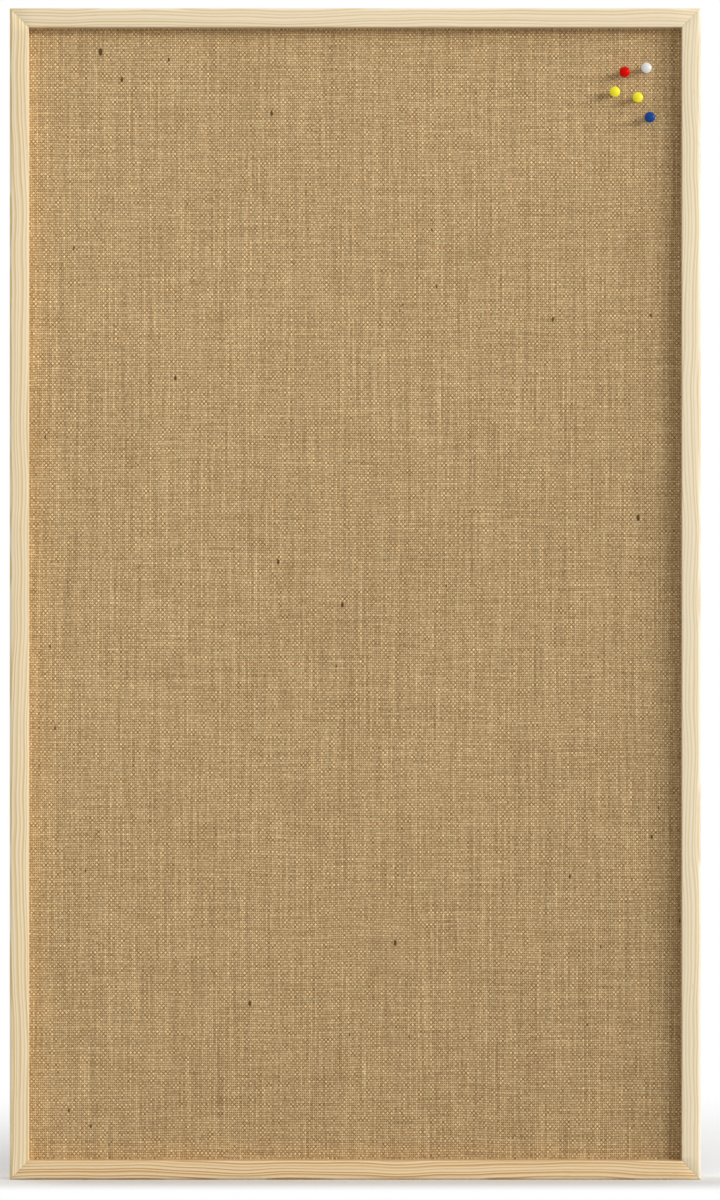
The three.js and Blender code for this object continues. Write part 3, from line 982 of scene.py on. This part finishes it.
def folded_strap(settings, width, reach):
    """Corners and faces of the strap: a flat section carried along the fold, its ends' corners cut."""
    line = strap_fold(settings, reach)
    thick = settings.strap_layer * 0.95 / 2
    corners = []
    for i, (down, back) in enumerate(line):
        before, after = line[max(i - 1, 0)], line[min(i + 1, len(line) - 1)]
        along = Vector((after[0] - before[0], after[1] - before[1])).normalized()
        half = width / 2 - (settings.strap_layer if i in (0, len(line) - 1) else 0)
        for side, across in ((-1, -1), (-1, 1), (1, 1), (1, -1)):
            offset = Vector((along.y, -along.x)) * (side * thick)
            corners.append((across * half, back + offset.y, -down - offset.x))
    ends = [(0, 1, 2, 3), tuple(len(corners) - k for k in (4, 3, 2, 1))]
    return corners, ends + bands(4, len(line))


def ring_path(settings, half):
    """D of the ring: straight bar on its turning axis, two sides and a half round."""
    corner, side = settings.ring_corner, settings.ring_side
    bar = half - corner
    return [
        (0, 0),
        *arc((bar, corner), corner, 270, 360, 8),
        *arc((0, side), half, 0, 180, 32),
        *arc((-bar, corner), corner, 180, 270, 8),
    ]


def pan_head_screw(settings, diameter, run):
    """Corners and faces of a screw along Z, its head's underside at the origin."""
    radius, shank, height = diameter / 2, settings.shank / 2, settings.head_height
    rim = height * 0.38
    thread = []
    pitch = settings.shank * 0.4
    turns = int((run - settings.shank) / pitch)
    for i in range(turns):
        up = settings.shank - run + i * pitch
        grown = shank * min(1, 0.55 + i * 0.12)
        thread += [(grown * THREAD_ROOT, up), (grown, up + pitch / 2)]
    dome = bend((radius, rim), (radius * 0.96, height), (0, height), 10)
    neck = [(shank * THREAD_ROOT, -pitch / 4), (shank, 0), (radius, 0), (radius, rim)]
    return turned([(0, -run), *thread, *neck, *dome], ROUND_SIDES)


def cross_recess(diameter, height, depth):
    """Cutter for the cross in a screw's head."""
    long, wide = diameter * 0.3, diameter * 0.07
    shapes = []
    for half_x, half_y in ((long, wide), (wide, long)):
        outline = [(-half_x, -half_y), (half_x, -half_y), (half_x, half_y), (-half_x, half_y)]
        corners, faces = prism(outline, height - depth, height + depth)
        shapes.append(([(x, up, along) for x, along, up in corners], faces))
    return shapes


class PINBOARD_OT_hangers(bpy.types.Operator):
    """Fold the hanger straps, bend the D-rings and turn the screws"""

    bl_idname = "pin_board.hangers"
    bl_label = "Strap hangers"

    def execute(self, context):
        settings = context.scene.pin_board_hardware
        plate = metal_finish("zinc_strap", settings.zinc, (2600, 90, 90), 0.3)
        wire = metal_finish("zinc_wire", settings.zinc, (1200, 1200, 1200), 0.24)
        head = metal_finish("zinc_screw", settings.zinc, (1500, 1500, 300), 0.26)
        for side in SIDES:
            self.strap_and_ring(settings, side, plate, wire)
            for i in (1, 2):
                self.screw(settings, f"{side}_{i}", head)
        return {"FINISHED"}

    def strap_and_ring(self, settings, side, plate, wire):
        low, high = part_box(f"hanger_strap_{side}")
        eye = settings.wire / 2 + settings.wire_gap + settings.strap_layer
        axis = Vector(((low.x + high.x) / 2, low.y + eye, high.z - eye))
        shape = folded_strap(settings, high.x - low.x, axis.z - low.z)
        strap = piece_of("board", plate, f"folded_strap_{side}", shape, Matrix.Translation(axis))
        eased(strap, settings.strap_layer / 8)
        smoothed(strap)
        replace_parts(strap, f"hanger_strap_{side}")
        low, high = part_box(f"d_ring_{side}")
        half = (high.x - low.x - settings.wire) / 2
        lean = math.asin((axis.y - low.y - settings.wire / 2) / (settings.ring_side + half))
        place = Matrix.Translation(axis) @ Matrix.Rotation(lean, 4, "X")
        shape = swept(ring_path(settings, half), settings.wire / 2, WIRE_SIDES)
        ring = piece_of(f"{side}_ring", wire, f"wire_ring_{side}", shape, place)
        smoothed(ring)
        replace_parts(ring, f"d_ring_{side}")

    def screw(self, settings, which, finish):
        low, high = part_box(f"hanger_screw_{which}")
        height = settings.head_height
        place = seated(low, high, high.y - height, 1)
        shape = pan_head_screw(settings, high.x - low.x, high.y - low.y - height)
        screw = piece_of("board", finish, f"pan_screw_{which}", shape, place)
        for bar in cross_recess(high.x - low.x, height, height * RECESS_SHARE):
            carved(screw, shown("recess", bar, place))
        smoothed(screw)
        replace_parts(screw, f"hanger_screw_{which}")


class PINBOARD_OT_bumpers(bpy.types.Operator):
    """Turn the rubber wall bumpers"""

    bl_idname = "pin_board.bumpers"
    bl_label = "Wall bumpers"

    def execute(self, context):
        settings = context.scene.pin_board_hardware
        finish = rubber_finish(settings)
        for corner in CORNERS:
            node = f"bumper_{corner}"
            low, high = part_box(node)
            radius, height, ease = (high.x - low.x) / 2, high.y - low.y, settings.bumper_ease
            profile = [
                (0, 0), (radius * 0.97, 0), (radius, ease / 4), (radius, height - ease),
                *bend((radius, height - ease), (radius, height), (radius - ease, height)),
                (radius * 0.45, height), (radius * 0.38, height - ease / 4), (0, height - ease / 3),
            ]
            place = seated(low, high, low.y, 1)
            shape = turned(profile, ROUND_SIDES)
            piece = piece_of("board", finish, f"rubber_{corner}", shape, place)
            smoothed(piece)
            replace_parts(piece, node)
        return {"FINISHED"}


def pin_head_profile(settings, height, root, gap):
    """Spool from the bore for the needle, over the collar, waist and disc to the middle of its top."""
    disc, collar, waist = settings.disc / 2, settings.collar / 2, settings.waist / 2
    bore = settings.needle / 2 + gap
    under, thick = height - settings.disc_thickness, settings.collar_thickness
    edge, rounding, dome = settings.disc_round, settings.collar_round, disc - settings.shoulder
    shoulder = height - settings.crown
    rim = shoulder - 2 * settings.crown * settings.shoulder / dome
    middle = (thick + under) / 2
    return [
        (0, root), (bore, root), (bore, 0), (collar - rounding, 0),
        *bend((collar - rounding, 0), (collar, 0), (collar, rounding)),
        (collar, thick - rounding),
        (collar - settings.collar_slope, thick),
        *bend((collar - settings.collar_slope, thick), (waist, thick), (waist, middle), 14),
        *bend((waist, middle), (waist, under), (disc - edge, under), 14),
        *bend((disc - edge, under), (disc, under), (disc, under + edge)),
        *bend((disc, under + edge), (disc, rim), (dome, shoulder), 10),
        *bend((dome, shoulder), (dome / 2, height), (0, height), 10),
    ]


def needle_profile(settings, root, reach):
    """Needle from its point behind the cloth to its flat end in the head."""
    radius, shoulder = settings.needle / 2, settings.taper - reach
    point = bend((0, -reach), (radius * 0.8, -reach + settings.taper / 2), (radius, shoulder))
    return [(0, -reach), *point, (radius, root), (0, root)]


class PINBOARD_OT_pins(bpy.types.Operator):
    """Turn the push pins' plastic heads and steel needles"""

    bl_idname = "pin_board.pins"
    bl_label = "Push pins"

    def execute(self, context):
        settings = context.scene.pin_board_pins
        steel = metal_finish("needle_steel", paint(205, 206, 208), (900, 900, 5000), 0.16)
        for pin, (body, slot) in PINS.items():
            tint = getattr(settings, slot.split("_")[0])
            low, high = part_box(f"pin_head_{pin}")
            foot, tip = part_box(f"pin_needle_{pin}")
            out = seated(low, high, high.y, -1)
            root, reach = high.y - foot.y, tip.y - high.y
            profile = pin_head_profile(settings, high.y - low.y, root + SEAT_GAP, SEAT_GAP)
            plastic = plastic_finish(f"{pin}_head", tint)
            head = piece_of(body, plastic, f"spool_{pin}", turned(profile, DISC_SIDES), out)
            shaft = needle_profile(settings, root, reach)
            shape = turned(shaft, NEEDLE_SIDES)
            needle = piece_of(body, steel, f"needle_{pin}", shape, out)
            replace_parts(smoothed(head), f"pin_head_{pin}")
            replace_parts(smoothed(needle), f"pin_needle_{pin}")
        return {"FINISHED"}


def area_lamp(name, power, width, height, place, target):
    """A soft lamp that faces a point."""
    lamp = bpy.data.lights.new(name, "AREA")
    lamp.energy = power
    lamp.shape = "RECTANGLE"
    lamp.size, lamp.size_y = width, height
    placed(name, lamp, Matrix.Translation(place) @ facing(place - target))


def direction(turn, rise):
    """Unit vector at an angle to the right of the board's normal and above the horizon."""
    return Vector((math.sin(turn) * math.cos(rise), -math.cos(turn) * math.cos(rise), math.sin(rise)))


def pale_world(fill):
    """Soft light that comes more from above, and plain white where it is seen."""
    nodes = Nodes(bpy.data.worlds.new("pale_room"))
    _, _, up = nodes.parts(nodes.node("ShaderNodeTexCoord").outputs["Generated"])
    room, white = nodes.node("ShaderNodeBackground"), nodes.node("ShaderNodeBackground")
    nodes.feed(room.inputs["Strength"], (up + 1) * fill)
    for background in (room, white):
        nodes.feed(background.inputs["Color"], (1, 1, 1))
    output = nodes.node("ShaderNodeOutputWorld")
    nodes.feed(output.inputs["Surface"], nodes.either(nodes.seen_directly(), room, white))
    return nodes.owner


def floor_finish(settings):
    """Pale matt floor that shows the board's soft shadow, with a painted shadow that makes it darker before
    the board, and plain white further out.
    """
    finish = Finish("pale_floor")
    seen = finish.seen_directly()
    across, deep, _ = finish.parts(finish.place())
    front = deep * -1
    tones = [(tone, tone, tone) for tone in (settings.floor_lit, settings.floor_tone, settings.floor_painted_shadow)]
    # Painted shadow: the seen tone drops from floor_tone behind the board's face to the darker tone before
    # it, across the floor's whole width.
    tint = finish.mix(seen, tones[0], finish.mix(front.between(-0.01, 0.01), tones[1], tones[2]))
    finish.wear(Base_Color=tint, Roughness=0.9, Specular_IOR_Level=0.1)
    away = (across * across + deep * deep).math("SQRT")
    before = front.between(settings.floor_front / 4, settings.floor_front)
    clear = away.between(settings.floor_clear / 4, settings.floor_clear).math("MAXIMUM", before)
    white = finish.node("ShaderNodeEmission")
    finish.feed(finish.output.inputs["Surface"], finish.either(clear * seen, finish.shader, white))
    return finish.owner


class PINBOARD_OT_stage(bpy.types.Operator):
    """Set the floor, lamps, room light and camera"""

    bl_idname = "pin_board.stage"
    bl_label = "Stage"

    def execute(self, context):
        settings = context.scene.pin_board_stage
        middle = (CAD_LOW + CAD_HIGH) / 2
        self.floor(settings)
        lamps = (("key_lamp", settings.key_power, 0), ("back_lamp", settings.back_power, math.pi))
        for name, power, turn in lamps:
            out = direction(turn + settings.key_turn, settings.key_rise) * settings.key_distance
            area_lamp(name, power, settings.key_width, settings.key_height, middle + out, middle)
        context.scene.world = pale_world(settings.fill)
        context.scene.view_settings.view_transform = "Standard"
        self.camera(settings, middle)
        return {"FINISHED"}

    def floor(self, settings):
        half = settings.floor_size / 2
        outline = [(-half, -half, 0), (half, -half, 0), (half, half, 0), (-half, half, 0)]
        floor = shown("floor", (outline, [(0, 1, 2, 3)]))
        floor.data.materials.append(floor_finish(settings))

    def camera(self, settings, middle):
        data = bpy.data.cameras.new("camera")
        data.lens = data.sensor_width * settings.camera_distance / settings.frame_height
        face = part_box("left_stile")[0].y
        place = (settings.camera_across, face - settings.camera_distance, middle.z - settings.camera_down)
        level = Matrix.Rotation(math.pi / 2, 4, "X")
        bpy.context.scene.camera = placed("camera", data, Matrix.Translation(place) @ level)


class PINBOARD_PT_sidebar(bpy.types.Panel):
    """Lists the steps that build the board"""

    bl_idname = "PINBOARD_PT_sidebar"
    bl_label = "Pin board"
    bl_space_type = "VIEW_3D"
    bl_region_type = "UI"
    bl_category = "Pin board"

    def draw(self, context):
        for operator in OPERATORS:
            self.layout.operator(operator.bl_idname)


OPERATORS = (
    PINBOARD_OT_jute,
    PINBOARD_OT_core_and_panel,
    PINBOARD_OT_frame,
    PINBOARD_OT_fixings,
    PINBOARD_OT_hangers,
    PINBOARD_OT_bumpers,
    PINBOARD_OT_pins,
    PINBOARD_OT_stage,
)
CLASSES = (*SETTINGS.values(), *OPERATORS, PINBOARD_PT_sidebar)


def register():
    for kind in CLASSES:
        bpy.utils.register_class(kind)
    for name, kind in SETTINGS.items():
        setattr(bpy.types.Scene, name, PointerProperty(type=kind))


def unregister():
    for name in SETTINGS:
        delattr(bpy.types.Scene, name)
    for kind in reversed(CLASSES):
        bpy.utils.unregister_class(kind)


def main():
    """Builds every piece and the stage."""
    register()
    bpy.ops.pin_board.jute()
    bpy.ops.pin_board.core_and_panel()
    bpy.ops.pin_board.frame()
    bpy.ops.pin_board.fixings()
    bpy.ops.pin_board.hangers()
    bpy.ops.pin_board.bumpers()
    bpy.ops.pin_board.pins()
    bpy.ops.pin_board.stage()


if __name__ == "__main__":
    main()
